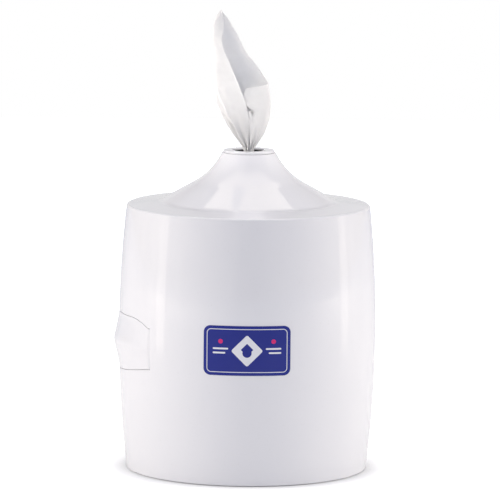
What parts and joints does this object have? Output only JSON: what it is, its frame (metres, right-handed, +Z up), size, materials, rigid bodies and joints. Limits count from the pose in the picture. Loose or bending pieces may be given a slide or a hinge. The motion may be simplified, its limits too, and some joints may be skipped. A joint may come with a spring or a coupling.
{
  "type": "wipes dispenser",
  "caption": "Wall-mounted wipes dispenser: a barrel drum with a funnel top and nozzle, a hinged front cover with a side latch, and a refill roll whose wipe stands out of the nozzle.",
  "frame": {"origin": "on the drum's axis at the plane of its foot", "axes": "+Z up along the drum's axis, +Y towards the wall, -Y the front, +X the hinge side"},
  "size_m": [0.2777, 0.2769, 0.4865],
  "materials": {
    "shell": "glossy moulded white plastic",
    "nozzle": "glossy moulded white plastic with a polished lip",
    "inner_plastic": "moulded light grey plastic, finely grained",
    "elastomer": "soft black moulded rubber",
    "steel": "bright zinc-plated steel",
    "label": "printed film label, deep blue with a plain pictogram",
    "film": "thin clear polyethylene film",
    "wipe": "soft white nonwoven, slightly translucent"
  },
  "bodies": {
    "housing": {"rear_housing": "shell", "hinge_pin": "steel", "keeper_plate": "steel", "keeper_screws": "steel", "nozzle_bracket": "inner_plastic", "bracket_screws": "steel", "nozzle_ring": "nozzle", "orifice_disc": "elastomer", "orifice_retainer": "inner_plastic", "nozzle_screws": "steel", "roll_tray": "inner_plastic", "refill_bag": "film", "wipes_roll": "wipe", "wipe_strand": "wipe", "wipe_sheet": "wipe"},
    "cover": {"front_cover": "shell", "front_label": "label", "latch_pin": "steel", "latch_spring": "steel"},
    "latch": {"latch_lever": "shell"}
  },
  "joints": [
    {"name": "cover_hinge", "type": "hinge", "parent": "housing", "child": "cover", "pos_m": [0.1335, 0.0155, 0.1455], "axis": [0, 0, 1], "range_deg": [0, 105]},
    {"name": "latch_pivot", "type": "hinge", "parent": "cover", "child": "latch", "pos_m": [-0.10007, -0.08547, 0.137], "axis": [0, 0, 1], "range_deg": [-0.9, 14], "stiffness_Nm_per_rad": 0.08, "springref_deg": -14.32, "deforming": ["latch_spring"]}
  ]
}
